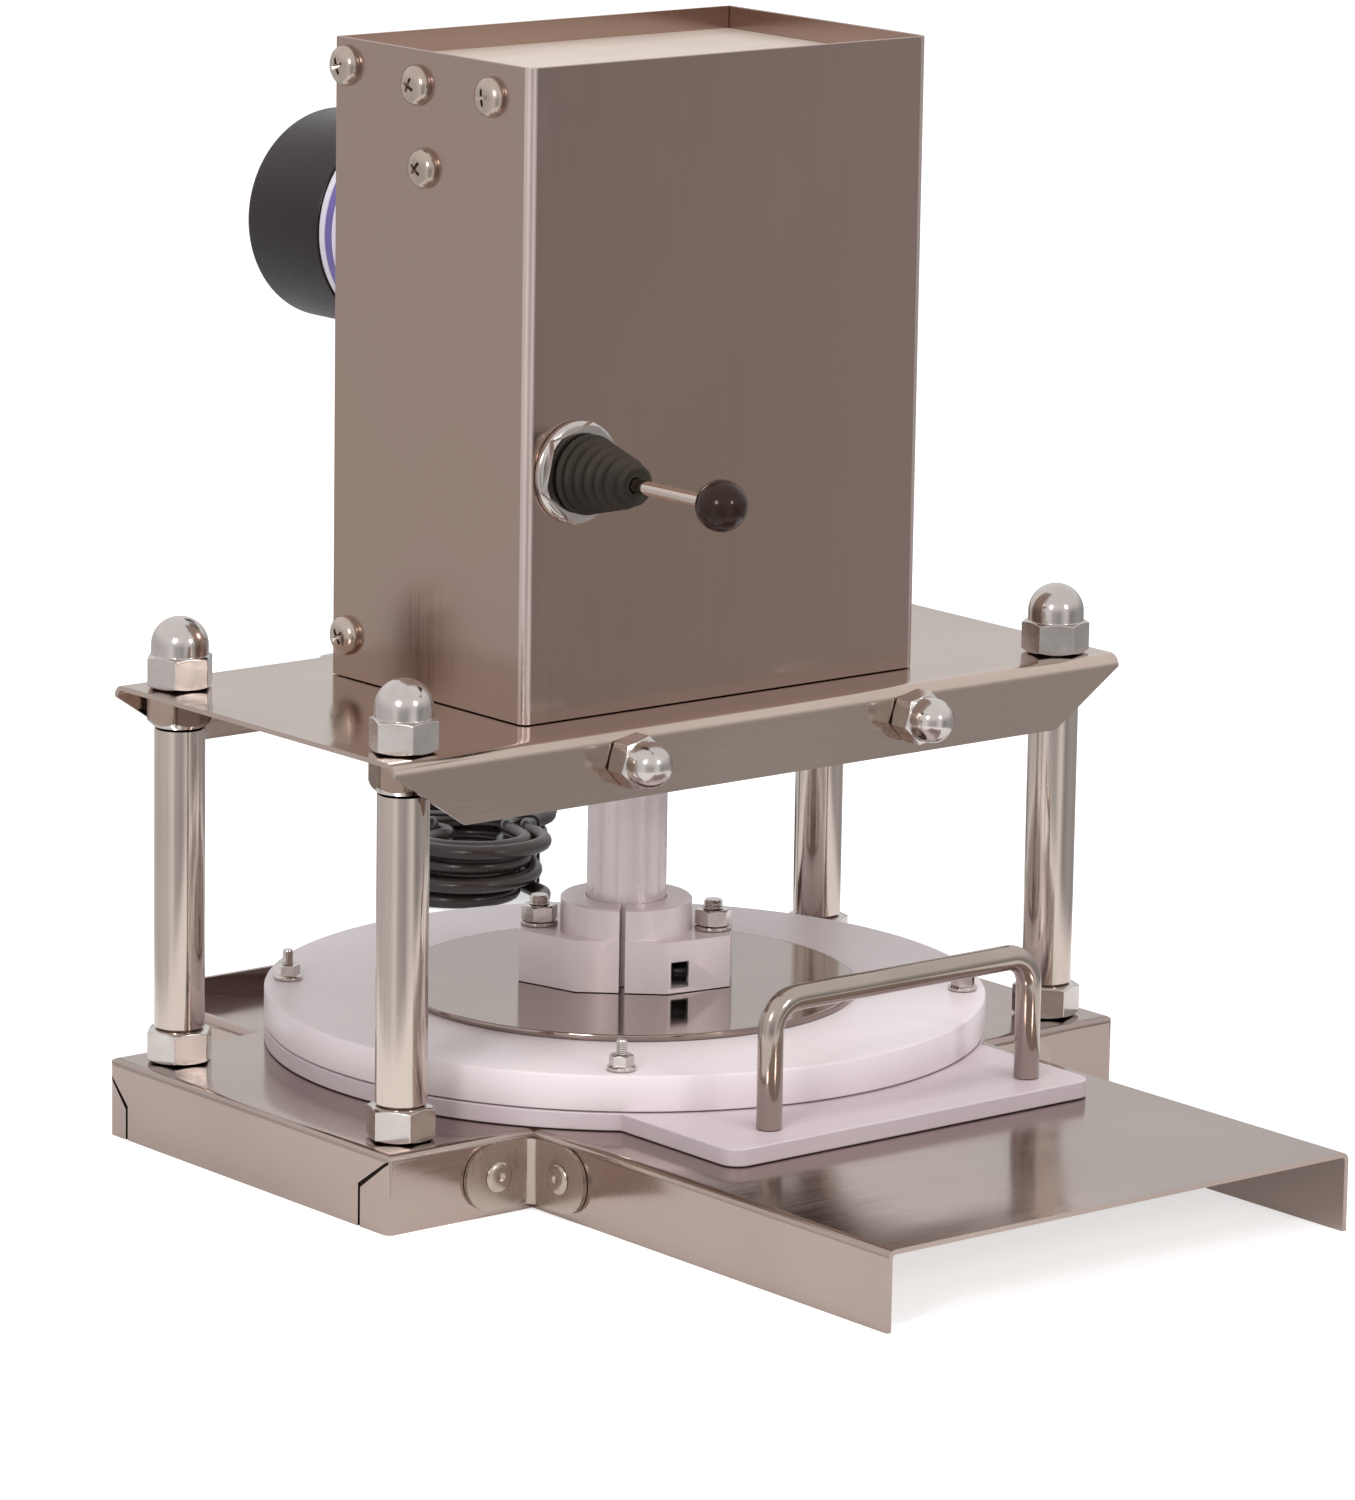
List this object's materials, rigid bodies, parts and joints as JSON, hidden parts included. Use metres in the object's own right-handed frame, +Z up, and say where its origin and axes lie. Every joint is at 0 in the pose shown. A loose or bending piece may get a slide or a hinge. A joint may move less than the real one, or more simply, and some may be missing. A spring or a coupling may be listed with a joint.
{
  "type": "pizza dough press",
  "caption": "Electric pizza dough press: a motor and rack drive a round plate down onto a tray with a handle that slides out along a folded steel base; joystick control.",
  "frame": {"origin": "centre of the press's footprint on the surface that it stands on, without the mains cord", "axes": "+Z up, -Y towards the user, where the joystick and the tray handle are, +X to the user's right"},
  "size_m": [0.4607, 0.7802, 0.4372],
  "materials": {
    "folded_steel": "satin folded stainless sheet with soft grain",
    "housing_steel": "satin stainless sheet, fine vertical grain",
    "bracket_steel": "satin stainless angle",
    "polished_bar": "ground and polished bar",
    "bright_fasteners": "bright plated fasteners",
    "plate_aluminium": "machined, lightly frosted",
    "hub_aluminium": "machined satin",
    "disc_steel": "turned stainless disc",
    "gear_steel": "cut and oiled",
    "gearbox_aluminium": "die cast",
    "motor_light": "light sleeve with a plain violet band",
    "motor_black": "black paint, semi gloss",
    "switch_black": "moulded",
    "boot_rubber": "matt ribbed rubber",
    "knob_gloss": "polished black brown ball",
    "cord_black": "shiny black sheath",
    "fitting_black": "moulded black"
  },
  "bodies": {
    "frame": {"acorn_nut_front_left": "bright_fasteners", "acorn_nut_front_right": "bright_fasteners", "acorn_nut_rear_left": "bright_fasteners", "acorn_nut_rear_right": "bright_fasteners", "base_nut_front_left": "bright_fasteners", "base_nut_front_right": "bright_fasteners", "base_nut_rear_left": "bright_fasteners", "base_nut_rear_right": "bright_fasteners", "base_tray": "folded_steel", "bearing_plate": "bracket_steel", "collar_nut_front_left": "bright_fasteners", "collar_nut_front_right": "bright_fasteners", "collar_nut_rear_left": "bright_fasteners", "collar_nut_rear_right": "bright_fasteners", "cord_gland": "fitting_black", "cord_hank": "cord_black", "cord_tie": "fitting_black", "corner_bracket_front_left": "bracket_steel", "corner_bracket_front_right": "bracket_steel", "corner_bracket_rear_left": "bracket_steel", "corner_bracket_rear_right": "bracket_steel", "gearbox": "gearbox_aluminium", "guide_block": "hub_aluminium", "guide_bush": "polished_bar", "housing_back": "housing_steel", "housing_lid": "housing_steel", "housing_shell": "housing_steel", "joystick_body": "switch_black", "joystick_boot": "boot_rubber", "joystick_nut": "bright_fasteners", "limit_switch": "switch_black", "mains_lead": "cord_black", "mains_plug": "fitting_black", "motor_body": "motor_light", "motor_cap": "motor_black", "post_front_left": "polished_bar", "post_front_right": "polished_bar", "post_rear_left": "polished_bar", "post_rear_right": "polished_bar", "tie_bolt_left": "bright_fasteners", "tie_bolt_right": "bright_fasteners", "tie_nut_left": "bright_fasteners", "tie_nut_right": "bright_fasteners", "top_plate": "folded_steel"},
    "ram": {"ram_column": "polished_bar", "clamp_hub": "hub_aluminium", "hub_bolt_left": "bright_fasteners", "hub_bolt_right": "bright_fasteners", "backing_disc": "disc_steel", "upper_die": "plate_aluminium", "stop_screw_front": "bright_fasteners", "stop_screw_left": "bright_fasteners", "stop_screw_right": "bright_fasteners", "stop_screw_rear": "bright_fasteners"},
    "drive": {"output_shaft": "polished_bar", "pinion": "gear_steel"},
    "tray": {"dough_tray": "plate_aluminium", "tray_handle": "plate_aluminium"},
    "joystick": {"joystick_lever": "polished_bar", "joystick_knob": "knob_gloss"}
  },
  "joints": [
    {"name": "ram_slide", "type": "slide", "parent": "frame", "child": "ram", "axis": [0, 0, 1], "range_m": [0, 0.06]},
    {"name": "pinion_spin", "type": "hinge", "parent": "frame", "child": "drive", "pos_m": [-0.0278, 0.0549, 0.346], "axis": [0, 1, 0], "range_deg": [-250, 0]},
    {"name": "tray_slide", "type": "slide", "parent": "frame", "child": "tray", "axis": [0, -1, 0], "range_m": [0, 0.285]},
    {"name": "joystick_tilt", "type": "hinge", "parent": "frame", "child": "joystick", "pos_m": [-0.0779, -0.0073, 0.2804], "axis": [1, 0, 0], "range_deg": [-15, 15], "stiffness_Nm_per_rad": 1.5, "deforming": ["joystick_boot"]}
  ],
  "couplings": [
    {"joint": "pinion_spin", "follows": "ram_slide", "rad_per_m": -71.429}
  ]
}
